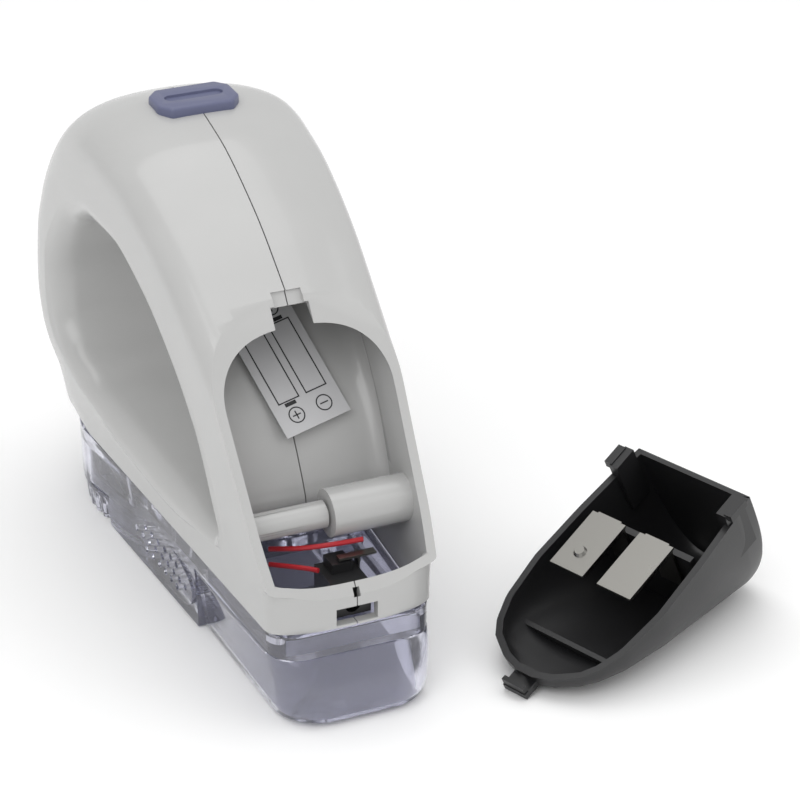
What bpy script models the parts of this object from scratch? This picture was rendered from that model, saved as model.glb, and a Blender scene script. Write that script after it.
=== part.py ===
"""Battery fabric shaver with a loop handle, its battery cover lifted off and laid beside it.

+Z is up, +Y points to the shaving head, X runs across the body. The origin lies on the flat underside
of the lint container. The body is a closed loop: a rim line (OUTER) and a finger hole (HOLE) are paired
station by station, and each shell half is a skin carried round that loop.
"""
import math

import bmesh
import bpy
import numpy as np
from mathutils import Matrix, Vector

MM = 0.001
GAP = 0.3            # clearance between pieces that touch

# Shell loop, millimetres
WALL = 2.2
SEAM_GAP = 0.15      # half the parting line
SHELL_BOTTOM = 22.4
REAR_HALF_WIDTH = 19.9
WIDTH_GROWTH = 0.060
MOUTH_ACROSS = 7.0
MOUTH_DEEP = 6.0
CROWN_POWER = 2.6
# y and z on the rim line, y and z on the finger hole, and the depth of the rounded crown
STATIONS = [
    (-39.6, 16.0, -5.5, 34.5, 7.0),
    (-39.6, 24.0, -7.0, 36.0, 7.0),
    (-39.6, 31.5, -7.5, 38.0, 7.0),
    (-52.0, 34.0, -6.5, 40.5, 9.0),
    (-54.0, 43.0, -4.0, 45.0, 9.0),
    (-30.0, 63.5, 2.0, 54.0, 9.0),
    (0.0, 86.0, 14.0, 65.5, 8.5),
    (20.0, 99.3, 30.0, 76.5, 9.5),
    (42.0, 108.5, 46.0, 82.5, 11.5),
    (60.0, 111.5, 60.0, 83.0, 13.5),
    (78.0, 107.5, 71.0, 79.0, 17.0),
    (93.0, 95.0, 80.0, 70.0, 18.0),
    (103.0, 77.0, 85.0, 60.0, 18.0),
    (106.5, 57.0, 84.5, 50.0, 19.0),
    (105.0, 40.0, 80.0, 43.0, 20.0),
    (100.0, 28.0, 73.0, 39.5, 21.0),
    (96.0, 16.0, 66.0, 37.0, 24.0),
    (60.0, 16.0, 50.0, 35.5, 4.0),
    (20.0, 16.0, 20.0, 33.5, 4.0),
    (-20.0, 16.0, 4.0, 33.5, 4.0),
]
LOOP_STEPS = 44

# Battery opening: a plane leaning forward, and the bay behind it
OPENING_Y = -37.9    # where the plane crosses OPENING_Z
OPENING_Z = 32.5
OPENING_LEAN = math.atan2(0.7054, 1.0)
CELL_SLOPE = math.radians(38.0)
LABEL_SLOPE = math.radians(43.0)
LABEL_SKEW = math.radians(-13.0)
LABEL_MIDDLE = (2.0, 8.2, 65.4)

BOSS_Y = -21.0
BOSS_Z = 41.0
REAR_POST_X = 15.0
REAR_POST_Y = -31.6
FRONT_POST_X = 17.6
FRONT_POST_Y = 50.0

# Head
HEAD_Y = 72.0
HEAD_RADIUS = 26.5
RING_HEIGHT = 7.4
DECK_LOW = 17.5
DECK_TOP = 19.0

# Lint container and base frame
CONTAINER_FRONT = 6.7
CONTAINER_TOP = 16.0
BAND_LOW = 16.3
BAND_TOP = 22.1
FRAME_REAR = 7.2
CLEAR_WALL = 1.8
VENT_Y = 27.6

# Battery cover, in its own frame: U along its length from the nose, V across, rim at zero height
COVER_LENGTH = 65.5
COVER_WALL = 1.7
COVER_TILT = math.radians(26.4)
COVER_TURN = math.radians(21.9)
COVER_NOSE = (37.6, -47.6, 4.6)

SWITCH_Y = 58.0
SWITCH_TRAVEL = 5.0
SWITCH_TOP = 112.9

PARTS = "fabric_shaver"
CUTTERS = "cutters"


# ---------------------------------------------------------------- scene helpers

def clear_scene():
    for obj in list(bpy.data.objects):
        bpy.data.objects.remove(obj, do_unlink=True)
    for name in (PARTS, CUTTERS):
        old = bpy.data.collections.get(name)
        if old:
            bpy.data.collections.remove(old)
        bpy.context.scene.collection.children.link(bpy.data.collections.new(name))


def material(name, colour, roughness, metallic=0.0, transmission=0.0):
    mat = bpy.data.materials.get(name) or bpy.data.materials.new(name)
    mat.use_nodes = True
    shader = mat.node_tree.nodes["Principled BSDF"]
    shader.inputs["Base Color"].default_value = (*colour, 1.0)
    shader.inputs["Roughness"].default_value = roughness
    shader.inputs["Metallic"].default_value = metallic
    shader.inputs["Transmission Weight"].default_value = transmission
    mat.diffuse_color = (*colour, 1.0)
    return mat


def white():
    return material("white_gloss_plastic", (0.72, 0.72, 0.70), 0.22)


def lilac():
    return material("clear_lilac_plastic", (0.62, 0.62, 0.86), 0.08, transmission=0.8)


def charcoal():
    return material("charcoal_plastic", (0.03, 0.03, 0.032), 0.45)


def violet():
    return material("violet_grey_plastic", (0.16, 0.18, 0.32), 0.35)


def nickel():
    return material("nickel_plate", (0.62, 0.60, 0.56), 0.25, metallic=1.0)


def steel():
    return material("steel", (0.55, 0.55, 0.56), 0.3, metallic=1.0)


def red_sleeve():
    return material("red_wire_sleeve", (0.45, 0.01, 0.02), 0.4)


def grey_plastic():
    return material("grey_inner_plastic", (0.45, 0.46, 0.48), 0.4)


def paper():
    return material("label_paper", (0.62, 0.63, 0.64), 0.6)


def add_object(name, mesh, mat=None, cutter=False):
    obj = bpy.data.objects.new(name, mesh)
    bpy.data.collections[CUTTERS if cutter else PARTS].objects.link(obj)
    if mat:
        mesh.materials.append(mat)
    if cutter:
        obj.hide_render = True
        obj.display_type = "WIRE"
    return obj


def mesh_from(name, vertices, faces):
    """Mesh from points in millimetres."""
    mesh = bpy.data.meshes.new(name)
    mesh.from_pydata([tuple(float(c) * MM for c in v) for v in vertices], [], faces)
    mesh.update()
    return mesh


def mesh_from_bmesh(name, bm):
    mesh = bpy.data.meshes.new(name)
    bm.to_mesh(mesh)
    bm.free()
    return mesh


def box(name, low, high, mat=None, cutter=False):
    """Box between two corners in millimetres."""
    low, high = Vector(low), Vector(high)
    bm = bmesh.new()
    bmesh.ops.create_cube(bm, size=1.0)
    size = (high - low) * MM
    bmesh.ops.scale(bm, vec=size, verts=bm.verts)
    bmesh.ops.translate(bm, vec=(low + high) * 0.5 * MM, verts=bm.verts)
    return add_object(name, mesh_from_bmesh(name, bm), mat, cutter)


def turn_to(axis):
    return Vector((0.0, 0.0, 1.0)).rotation_difference(Vector(axis)).to_matrix().to_4x4()


def cylinder(name, radius, height, base, axis=(0, 0, 1), mat=None, cutter=False, sides=24, top_radius=None):
    """Cylinder or cone standing on base, along axis; its object's origin stays on the base centre."""
    bm = bmesh.new()
    top = radius if top_radius is None else top_radius
    bmesh.ops.create_cone(bm, cap_ends=True, segments=sides, radius1=radius * MM, radius2=top * MM,
                          depth=height * MM)
    bmesh.ops.translate(bm, vec=(0, 0, height * 0.5 * MM), verts=bm.verts)
    bmesh.ops.transform(bm, matrix=turn_to(axis), verts=bm.verts)
    obj = add_object(name, mesh_from_bmesh(name, bm), mat, cutter)
    obj.location = Vector(base) * MM
    return obj


def turned(name, profile, centre, mat=None, cutter=False, steps=32):
    """Solid of revolution about a vertical axis: profile is a closed list of radius and height."""
    bm = bmesh.new()
    turn = sum(a[0] * b[1] - b[0] * a[1] for a, b in zip(profile, profile[1:] + profile[:1]))
    if turn > 0:
        profile = profile[::-1]
    verts = [bm.verts.new((r * MM, 0.0, z * MM)) for r, z in profile]
    closed = min(r for r, z in profile) > 0.01
    for a, b in zip(verts, verts[1:] + verts[:1] if closed else verts[1:]):
        bm.edges.new((a, b))
    obj = add_object(name, mesh_from_bmesh(name, bm), mat, cutter)
    screw = obj.modifiers.new("turn", "SCREW")
    screw.steps = steps
    screw.render_steps = steps
    screw.use_merge_vertices = True
    screw.merge_threshold = 0.00001
    screw.use_normal_calculate = False
    obj.location = Vector(centre) * MM
    return obj


def plate(name, outline, thickness, matrix, mat=None, cutter=False):
    """Flat piece cut to an outline in its own XY plane, centred on it, then placed by matrix."""
    curve = bpy.data.curves.new(name, "CURVE")
    curve.dimensions = "2D"
    curve.fill_mode = "BOTH"
    curve.extrude = thickness * 0.5 * MM
    spline = curve.splines.new("POLY")
    spline.points.add(len(outline) - 1)
    for point, (x, y) in zip(spline.points, outline):
        point.co = (x * MM, y * MM, 0.0, 1.0)
    spline.use_cyclic_u = True
    obj = curve_to_mesh(name, curve, mat, cutter)
    obj.matrix_world = matrix
    return obj


def curve_to_mesh(name, curve, mat, cutter=False):
    holder = bpy.data.objects.new(name + "_curve", curve)
    bpy.context.scene.collection.objects.link(holder)
    evaluated = holder.evaluated_get(bpy.context.evaluated_depsgraph_get())
    mesh = bpy.data.meshes.new_from_object(evaluated)
    bm = bmesh.new()
    bm.from_mesh(mesh)
    bmesh.ops.remove_doubles(bm, verts=bm.verts, dist=0.000001)
    bmesh.ops.recalc_face_normals(bm, faces=bm.faces)
    bm.to_mesh(mesh)
    bm.free()
    bpy.data.objects.remove(holder, do_unlink=True)
    return add_object(name, mesh, mat, cutter)


def wire(name, points, radius, mat):
    """Round wire along a smooth line through the given points."""
    curve = bpy.data.curves.new(name, "CURVE")
    curve.dimensions = "3D"
    curve.bevel_depth = radius * MM
    curve.bevel_resolution = 2
    curve.use_fill_caps = True
    route = smooth_line(points, 4)
    spline = curve.splines.new("POLY")
    spline.points.add(len(route) - 1)
    for point, place in zip(spline.points, route):
        point.co = (*(place * MM), 1.0)
    return curve_to_mesh(name, curve, mat)


def smooth_line(points, steps):
    """Catmull-Rom points along an open line."""
    p = np.array(points, float)
    p = np.vstack([2 * p[0] - p[1], p, 2 * p[-1] - p[-2]])
    out = []
    for a, b, c, d in zip(p[:-3], p[1:-2], p[2:-1], p[3:]):
        for t in np.linspace(0.0, 1.0, steps, endpoint=False):
            out.append(0.5 * (2 * b + (c - a) * t + (2 * a - 5 * b + 4 * c - d) * t ** 2
                              + (3 * b - 3 * c + d - a) * t ** 3))
    return out + [p[-2]]


def boolean(obj, other, operation="DIFFERENCE"):
    mod = obj.modifiers.new(operation.lower() + "_" + other.name, "BOOLEAN")
    mod.object = other
    mod.operation = operation
    mod.solver = "EXACT"


def cut(obj, *others):
    for other in others:
        boolean(obj, other, "DIFFERENCE")


def join(obj, *others):
    for other in others:
        other.hide_render = True
        other.display_type = "WIRE"
        for owner in list(other.users_collection):
            owner.objects.unlink(other)
        bpy.data.collections[CUTTERS].objects.link(other)
        boolean(obj, other, "UNION")


# ---------------------------------------------------------------- shell halves

def eased(value, low, high):
    """Smooth step from 0 at low to 1 at high."""
    t = np.clip((value - low) / (high - low), 0.0, 1.0)
    return t * t * (3.0 - 2.0 * t)


def closed_monotone(values, steps):
    """Points round a closed list of values, by cubic pieces that never overshoot a station."""
    v = np.asarray(values, float)
    rise = np.roll(v, -1) - v
    before = np.roll(rise, 1)
    same_sign = (rise * before) > 0
    slope = np.where(same_sign, 2 * rise * before / np.where(same_sign, rise + before, 1.0), 0.0)
    place = np.arange(steps) * len(v) / steps
    i = place.astype(int)
    j = (i + 1) % len(v)
    t = place - i
    return ((2 * t ** 3 - 3 * t ** 2 + 1) * v[i] + (t ** 3 - 2 * t ** 2 + t) * slope[i]
            + (3 * t ** 2 - 2 * t ** 3) * v[j] + (t ** 3 - t ** 2) * slope[j])


def half_width(y, z):
    """Half the body's width at a point of its side: it grows to the head and bulges above the base."""
    base = REAR_HALF_WIDTH + (y + 35.0) * WIDTH_GROWTH
    return base + (1.2 + 0.6 * eased(y, 0.0, 75.0)) * eased(z, SHELL_BOTTOM, 45.0)


def section_steps(tunnel, mouth, side, crown):
    """Stations across a section: part number and how far along that part."""
    parts = []
    for number, count in enumerate((tunnel, mouth, side, crown)):
        parts += [(number, k / count) for k in range(count)]
    return parts + [(3, 1.0)]


def loop_surface(steps_round, counts):
    """Left half skin: the section runs from the hole's parting line over the side to the rim line."""
    columns = [closed_monotone([s[k] for s in STATIONS], steps_round) for k in range(5)]
    rim_y, rim_z, hole_y, hole_z, crown = columns
    reach = np.hypot(rim_y - hole_y, rim_z - hole_z)
    crown = np.minimum(crown, reach - MOUTH_DEEP - 2.0)
    rows = []
    for part, t in section_steps(*counts):
        if part == 0:
            side, along = t, np.zeros_like(reach)
            width = half_width(hole_y, hole_z)
            x = (width - MOUTH_ACROSS) * side
        elif part == 1:
            a = t * math.pi / 2
            along = np.full_like(reach, MOUTH_DEEP * (1 - math.cos(a)))
            width = half_width(hole_y, hole_z)
            x = width - MOUTH_ACROSS * (1 - math.sin(a))
        else:
            if part == 2:
                along = MOUTH_DEEP + (reach - crown - MOUTH_DEEP) * t
                share = 1.0
            else:
                b = t * math.pi / 2
                along = reach - crown + crown * math.sin(b) ** (2 / CROWN_POWER)
                share = max(math.cos(b), 0.0) ** (2 / CROWN_POWER)
            k = along / reach
            x = half_width(hole_y + (rim_y - hole_y) * k, hole_z + (rim_z - hole_z) * k) * share
        k = along / reach
        y = hole_y + (rim_y - hole_y) * k
        z = hole_z + (rim_z - hole_z) * k
        rows.append(np.stack([-x, y, z], axis=1))
    past_middle = np.array([1.0, 0.0, 0.0])
    rows.insert(0, rows[0] * (0, 1, 1) + past_middle)
    rows.append(rows[-1] * (0, 1, 1) + past_middle)
    return np.array(rows)


def shell_skin(name, side, cutter=False):
    rows = loop_surface(LOOP_STEPS, (1, 3, 2, 5))
    rows[:, :, 0] *= -side
    count, steps = rows.shape[:2]
    faces = []
    for i in range(count - 1):
        for j in range(steps):
            k = (j + 1) % steps
            quad = (i * steps + j, i * steps + k, (i + 1) * steps + k, (i + 1) * steps + j)
            faces.append(quad[::-1] if side < 0 else quad)
    obj = add_object(name, mesh_from(name, rows.reshape(-1, 3), faces), white(), cutter)
    thick = obj.modifiers.new("wall", "SOLIDIFY")
    thick.thickness = WALL * MM
    thick.offset = -1.0
    thick.use_even_offset = False
    return obj


def opening_matrix():
    """Frame on the battery opening: X across, Y up along the plane, Z out of the body."""
    up = Vector((0.0, math.sin(OPENING_LEAN), math.cos(OPENING_LEAN)))
    across = Vector((1.0, 0.0, 0.0))
    out = across.cross(up)
    frame = Matrix((across, up, out)).transposed().to_4x4()
    frame.translation = Vector((0.0, OPENING_Y, OPENING_Z)) * MM
    return frame


def placed(obj, matrix):
    obj.matrix_world = matrix
    return obj


def shell_cutters(side):
    """What both halves lose: the base plane, the opening, the switch slot and the power inlet."""
    tag = "left" if side < 0 else "right"
    floor = box("floor_cut_" + tag, (-60, -80, -5), (60, 140, SHELL_BOTTOM), cutter=True)
    slab = placed(box("opening_cut_" + tag, (-60, -60, 0), (60, 120, 60), cutter=True), opening_matrix())
    low, high = (-SEAM_GAP, 60) if side < 0 else (-60, SEAM_GAP)
    middle = box("middle_cut_" + tag, (low, -80, 0), (high, 140, 130), cutter=True)
    slot = box("slot_cut_" + tag, (-10.8, SWITCH_Y - 7.2, 100), (10.8, SWITCH_Y + 7.1 + SWITCH_TRAVEL, 125), cutter=True)
    inlet = box("inlet_cut_" + tag, (-5.0, -45, 23.0), (5.0, -36, 27.2), cutter=True)
    return floor, slab, middle, slot, inlet


def screw_posts(obj, side):
    """Posts that the base screws run up into, with their pilot holes."""
    tag = "left" if side < 0 else "right"
    for k, (x, y, height) in enumerate(((REAR_POST_X, REAR_POST_Y, 6.6), (FRONT_POST_X, FRONT_POST_Y, 11.4))):
        place = (side * x, y, SHELL_BOTTOM)
        join(obj, cylinder("post_%s_%d" % (tag, k), 3.2, height, place, cutter=True, sides=14))
        pilot = (side * x, y, SHELL_BOTTOM - 1.0)
        cut(obj, cylinder("pilot_%s_%d" % (tag, k), 1.45, 6.6, pilot, cutter=True, sides=10))


def left_shell():
    obj = shell_skin("left_shell", -1)
    cut(obj, *shell_cutters(-1))
    screw_posts(obj, -1)
    join(obj, cylinder("left_boss", 3.2, 20.0, (-20.3, BOSS_Y, BOSS_Z), (1, 0, 0), cutter=True, sides=16))
    cut(obj, cylinder("left_boss_pilot", 1.45, 12.0, (1.0, BOSS_Y, BOSS_Z), (-1, 0, 0), cutter=True, sides=10))
    return obj


def right_shell():
    obj = shell_skin("right_shell", 1)
    cut(obj, *shell_cutters(1))
    screw_posts(obj, 1)
    join(obj, cylinder("right_sleeve", 5.6, 20.2, (0.4, BOSS_Y, BOSS_Z), (1, 0, 0), cutter=True, sides=20))
    cut(obj, cylinder("sleeve_counterbore", 3.4, 20.0, (6.0, BOSS_Y, BOSS_Z), (1, 0, 0), cutter=True, sides=16),
        cylinder("sleeve_hole", 1.6, 8.0, (-1.0, BOSS_Y, BOSS_Z), (1, 0, 0), cutter=True, sides=10))
    return obj


# ---------------------------------------------------------------- base frame and lint container

def side_width(y, z):
    """Half width of the base's straight sides, with draft towards the floor."""
    share = eased(z, 0.0, 24.0)
    radius = 21.5 + (HEAD_RADIUS - 21.5) * share
    return radius + (y - HEAD_Y) * (0.03 + 0.036 * share)


def rear_line(z):
    """How far back the rear wall reaches at a height: upright above, bellied out below."""
    return float(np.interp(z, [0.0, 1.4, 5.0, 10.8, 14.3, 16.6, 30.0],
                           [-43.2, -44.4, -44.8, -43.4, -41.7, -39.9, -39.6]))


def plan_outline(z, front, inset=0.0, corner=8.0, head=0.0):
    """Closed outline of the base at one height, from the rear middle round the right side."""
    rear = rear_line(z) + inset
    half = []
    for k in range(6):
        a = k / 5 * math.pi / 2
        y = rear + corner * (1 - math.cos(a))
        half.append((side_width(y, z) - inset - corner * (1 - math.sin(a)), y))
    if head:
        turn = head - inset
        meet = HEAD_Y - turn * 0.35
        half.append((max(side_width(meet, z) - inset, math.sqrt(turn ** 2 - (meet - HEAD_Y) ** 2)), meet))
        for k in range(8):
            a = k / 8 * math.pi / 2
            half.append((turn * math.cos(a), HEAD_Y + turn * math.sin(a)))
        return half + [(0.0, HEAD_Y + turn)] + [(-x, y) for x, y in reversed(half)]
    half.append((side_width(front, z) - inset, front - inset))
    return half + [(-x, y) for x, y in reversed(half)]


def loft(name, rings, mat=None, cutter=False):
    """Closed solid through level outlines, each a height and a list of points in plan."""
    count = len(rings[0][1])
    vertices = [(x, y, z) for z, ring in rings for x, y in ring]
    faces = [tuple(reversed(range(count)))]
    for i in range(len(rings) - 1):
        for j in range(count):
            k = (j + 1) % count
            faces.append((i * count + j, i * count + k, (i + 1) * count + k, (i + 1) * count + j))
    faces.append(tuple(range((len(rings) - 1) * count, len(rings) * count)))
    return add_object(name, mesh_from(name, vertices, faces), mat, cutter)


def lint_container():
    levels = (0.0, 1.4, 5.0, 10.8, 14.3, CONTAINER_TOP)
    insets = (0.9, 0.2, 0.0, 0.0, 0.0, 0.0)
    rings = [(z, plan_outline(z, CONTAINER_FRONT + i, i, corner=11.0 - 0.25 * z))
             for z, i in zip(levels, insets)]
    obj = loft("lint_container", rings, lilac())
    inner = [(z, plan_outline(z, CONTAINER_FRONT, CLEAR_WALL, corner=9.0))
             for z in (1.8, 5.0, 10.8, 14.3, CONTAINER_TOP + 1)]
    mouth = box("container_mouth", (-13, 0, 4), (13, 12, 20), cutter=True)
    cut(obj, loft("container_hollow", inner, cutter=True), mouth)
    return obj


def vent_shapes(side):
    """Raised oval collar and the air holes through it."""
    tag = "left" if side < 0 else "right"
    face = Matrix.Translation(Vector((side * 20.6, VENT_Y, 8.6)) * MM)
    face = face @ Matrix.Rotation(math.radians(-0.5 * side), 4, "Z") @ Matrix.Rotation(math.radians(90), 4, "Y")
    oval = [(6.0 * math.cos(a), 20.0 * math.sin(a)) for a in np.linspace(0, 2 * math.pi, 20, endpoint=False)]
    collar = plate("vent_collar_" + tag, oval, 3.6, face, cutter=True)
    holes = [cylinder("vent_hole_%s_%d" % (tag, k), 1.3, 14.0, (side * 14.0, VENT_Y + k * 4.6, 8.6), (side, 0, 0),
                      cutter=True, sides=6) for k in (-3, -2, -1, 0, 1, 2, 3)]
    return collar, holes


def base_frame():
    levels = (0.3, 5.0, 10.8, BAND_LOW, BAND_TOP)
    rings = [(z, plan_outline(z, 0, 0.0, corner=7.0, head=HEAD_RADIUS - 0.02 * (BAND_TOP - z)))
             for z in levels]
    obj = loft("base_frame", rings, lilac())
    room = box("container_room", (-40, -60, -2), (40, FRAME_REAR, BAND_LOW), cutter=True)
    ring_room = cylinder("ring_room", HEAD_RADIUS + 0.2, 12.0, (0, HEAD_Y, -4.0), cutter=True, sides=32)
    front_room = box("front_room", (-40, HEAD_Y, -4), (40, 110, 8), cutter=True)
    chamber = cylinder("fan_chamber", 23.6, 11.0, (0, HEAD_Y, DECK_LOW - 11.0), cutter=True, sides=32)
    duct = box("lint_duct", (-14.5, 0, 3), (14.5, 60, 15), cutter=True)
    band_room = box("band_room", (-15.5, -36, 10), (15.5, 3, 20.3), cutter=True)
    well = cylinder("motor_well", 12.7, 9.0, (0, HEAD_Y, DECK_TOP), cutter=True, sides=24)
    bore = cylinder("shaft_bore", 3.2, 12.0, (0, HEAD_Y, 12.0), cutter=True, sides=16)
    left_collar, left_holes = vent_shapes(-1)
    right_collar, right_holes = vent_shapes(1)
    cut(obj, room, ring_room, front_room)
    join(obj, left_collar, right_collar)
    cut(obj, chamber, duct, band_room, well, bore, *left_holes, *right_holes)
    for k, side in enumerate((-1, 1)):
        front = (side * FRONT_POST_X, FRONT_POST_Y)
        rear = (side * REAR_POST_X, REAR_POST_Y)
        cut(obj, cylinder("front_counterbore_%d" % k, 2.8, 15.0, (*front, -1.0), cutter=True, sides=14),
            cylinder("front_screw_hole_%d" % k, 1.6, 12.0, (*front, 12.0), cutter=True, sides=10),
            cylinder("rear_counterbore_%d" % k, 2.9, 5.0, (*rear, 15.3), cutter=True, sides=14),
            cylinder("rear_screw_hole_%d" % k, 1.6, 6.0, (*rear, 18.0), cutter=True, sides=10))
    return obj


# ---------------------------------------------------------------- head, rotor and motor

def screw(name, head_radius, length, base, axis, radius=1.3):
    """Pan head screw with a cross recess; base is the middle of the head's bearing face."""
    axis = Vector(axis)
    obj = cylinder(name, head_radius, 1.6, base, -axis, steel(), sides=12)
    shank = cylinder(name + "_shank", radius, length + 0.2, Vector(base) - axis * 0.2, axis, cutter=True, sides=8)
    obj_base = Vector(base) - axis * 1.7
    slot = cylinder(name + "_recess", head_radius * 0.45, 1.0, obj_base, axis, cutter=True, sides=4)
    join(obj, shank)
    cut(obj, slot)
    return obj


def head_parts():
    centre = (0, HEAD_Y, 0)
    turned("height_ring", [(25.2, 0.0), (26.0, RING_HEIGHT), (23.9, RING_HEIGHT), (22.6, 3.2), (22.6, 0.0)],
           centre, lilac(), steps=40)
    turned("foil_frame", [(22.2, 0.6), (22.2, 3.4), (23.3, 6.4), (23.3, 10.0), (21.6, 10.0), (21.6, 6.0),
                          (20.6, 3.4), (18.6, 1.9), (18.6, 0.6)], centre, grey_plastic(), steps=32)
    foil = cylinder("foil_disc", 19.2, 0.5, (0, HEAD_Y, 2.6), mat=steel(), sides=32)
    foil_holes = [cylinder("foil_hole_%d" % k, 1.2, 3.0,
                           (11.5 * math.cos(k * math.pi / 4), HEAD_Y + 11.5 * math.sin(k * math.pi / 4), 1.5),
                           cutter=True, sides=6) for k in range(8)]
    cut(foil, *foil_holes)


def rotor_parts():
    arm = 14.5
    turned("motor_shaft", [(0.0, 4.0), (1.0, 4.0), (1.0, 33.6), (0.0, 33.6)][::-1], (0, HEAD_Y, 0), steel(), steps=12)
    fan = turned("fan_impeller", [(1.35, 9.6), (5.0, 9.6), (5.0, 10.2), (20.5, 14.9), (20.5, 15.9), (1.35, 15.9)],
                 (0, HEAD_Y, 0), grey_plastic(), steps=24)
    for k in range(6):
        blade = box("fan_blade_%d" % k, (6.0, -0.6, 10.4), (19.8, 0.6, 15.2), cutter=True)
        blade.data.transform(Matrix.Translation((0, 0, -1.6 * MM)))
        blade.matrix_world = Matrix.Translation(Vector((0, HEAD_Y, 0)) * MM) @ Matrix.Rotation(k * math.pi / 3, 4, "Z")
        join(fan, blade)
    carrier = turned("blade_carrier", [(1.35, 4.7), (5.6, 4.7), (5.6, 8.8), (1.35, 8.8)], (0, HEAD_Y, 0),
                     grey_plastic(), steps=24)
    for k in range(3):
        place = Matrix.Translation(Vector((0, HEAD_Y, 0)) * MM) @ Matrix.Rotation(k * 2 * math.pi / 3, 4, "Z")
        spoke = box("carrier_arm_%d" % k, (4.5, -2.2, 5.2), (arm, 2.2, 6.6), cutter=True)
        spoke.matrix_world = place
        join(carrier, spoke)
        blade = box("blade_%d" % (k + 1), (5.0, -3.4, 3.5), (17.0, 1.6, 4.0), mat=steel())
        blade.data.transform(Matrix.Translation((1.5 * MM, 0, 0.3 * MM)))
        blade.matrix_world = place


def motor_parts():
    turned("motor_bush", [(1.2, 19.5), (2.3, 19.5), (2.3, 21.0), (1.2, 21.0)], (0, HEAD_Y, 0),
           material("brass", (0.6, 0.45, 0.2), 0.3, metallic=1.0), steps=16)
    turned("motor_can", [(2.6, 19.3), (12.2, 19.3), (12.2, 30.6), (11.4, 30.6), (11.4, 20.1), (2.6, 20.1)],
           (0, HEAD_Y, 0), steel(), steps=24)
    turned("motor_end_cap", [(1.4, 28.8), (11.1, 28.8), (11.1, 31.8), (1.4, 31.8)], (0, HEAD_Y, 0),
           material("black_moulding", (0.02, 0.02, 0.02), 0.4), steps=24)
    turned("rotor_core", [(1.2, 21.4), (9.4, 21.4), (9.4, 27.6), (1.2, 27.6)], (0, HEAD_Y, 0),
           material("copper", (0.6, 0.25, 0.12), 0.35, metallic=1.0), steps=16)


# ---------------------------------------------------------------- switch and wiring

def switch_parts():
    cap = [(-1.0, -6.6), (7.6, -6.6), (10.2, -3.4), (10.2, 3.4), (7.6, 6.6), (-7.6, 6.6), (-10.2, 3.4),
           (-10.2, -3.4), (-7.6, -6.6)]
    lie = Matrix.Translation(Vector((0, SWITCH_Y, SWITCH_TOP - 1.6)) * MM)
    button = plate("slide_switch", cap[1:], 3.2, lie, violet())
    bevel = button.modifiers.new("edge", "BEVEL")
    bevel.width = 0.7 * MM
    bevel.segments = 2
    bevel.limit_method = "ANGLE"
    groove = cylinder("switch_groove", 1.5, 13.0, (-6.5, SWITCH_Y, SWITCH_TOP + 0.6), (1, 0, 0), cutter=True, sides=12)
    cut(button, groove)
    stem = box("switch_stem", (-3.0, SWITCH_Y - 2.5, 104.0), (3.0, SWITCH_Y + 2.5, SWITCH_TOP - 2.4), cutter=True)
    join(button, stem)
    return button


def switch_inside():
    """Sliding contact under the button and the two fixed leaves it bridges."""
    holder = box("switch_housing", (-6.5, SWITCH_Y - 8.0, 93.5), (6.5, SWITCH_Y + 12.0, 99.5), mat=grey_plastic())
    cut(holder, box("switch_track", (-4.0, SWITCH_Y - 5.5, 95.5), (4.0, SWITCH_Y + 9.5, 101), cutter=True))
    box("switch_slider", (-3.4, SWITCH_Y - 4.8, 99.9), (3.4, SWITCH_Y + 3.0, 103.6), mat=grey_plastic())
    for k, y in enumerate((-4.4, 4.4)):
        box("switch_leaf_%d" % (k + 1), (-3.2, SWITCH_Y + y - 0.4, 95.8), (3.2, SWITCH_Y + y + 2.6, 96.3),
            mat=nickel())


def bay_parts():
    """Contact board at the inner end of the cells, its plate and spring, and the label."""
    slope = Matrix.Rotation(CELL_SLOPE, 4, "X")
    board_frame = Matrix.Translation(Vector((0, 43.0, 94.6)) * MM) @ slope
    board = box("contact_board", (-16.5, -1.0, -7.2), (16.5, 1.0, 7.2), mat=grey_plastic())
    board.matrix_world = board_frame
    tab = box("bay_contact_plate", (-13.0, -2.0, -4.6), (-3.2, -1.4, 4.6), mat=nickel())
    tab.matrix_world = board_frame
    turns = np.linspace(0.0, 3.5, 29)
    coil = [(8.1 + (4.4 - 0.5 * t) * math.cos(2 * math.pi * t), -2.0 - 1.7 * t, (4.4 - 0.5 * t) * math.sin(2 * math.pi * t))
            for t in turns]
    spring = wire_straight("bay_contact_spring", coil, 0.45, nickel())
    spring.matrix_world = board_frame
    across = Vector((1.0, 0.0, 0.0))
    down = Vector((0.0, -math.cos(LABEL_SLOPE), -math.sin(LABEL_SLOPE)))
    frame = Matrix((across, down, across.cross(down))).transposed().to_4x4()
    frame.translation = Vector(LABEL_MIDDLE) * MM
    sheet = box("battery_label", (-8.6, -17.0, -0.15), (8.6, 17.0, 0.15), mat=paper())
    sheet.matrix_world = frame @ Matrix.Rotation(LABEL_SKEW, 4, "Z")


def wire_straight(name, points, radius, mat):
    """Wire through points that already lie on a curve."""
    curve = bpy.data.curves.new(name, "CURVE")
    curve.dimensions = "3D"
    curve.bevel_depth = radius * MM
    curve.bevel_resolution = 1
    curve.use_fill_caps = True
    spline = curve.splines.new("POLY")
    spline.points.add(len(points) - 1)
    for point, place in zip(spline.points, points):
        point.co = (*(Vector(place) * MM), 1.0)
    return curve_to_mesh(name, curve, mat)


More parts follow.
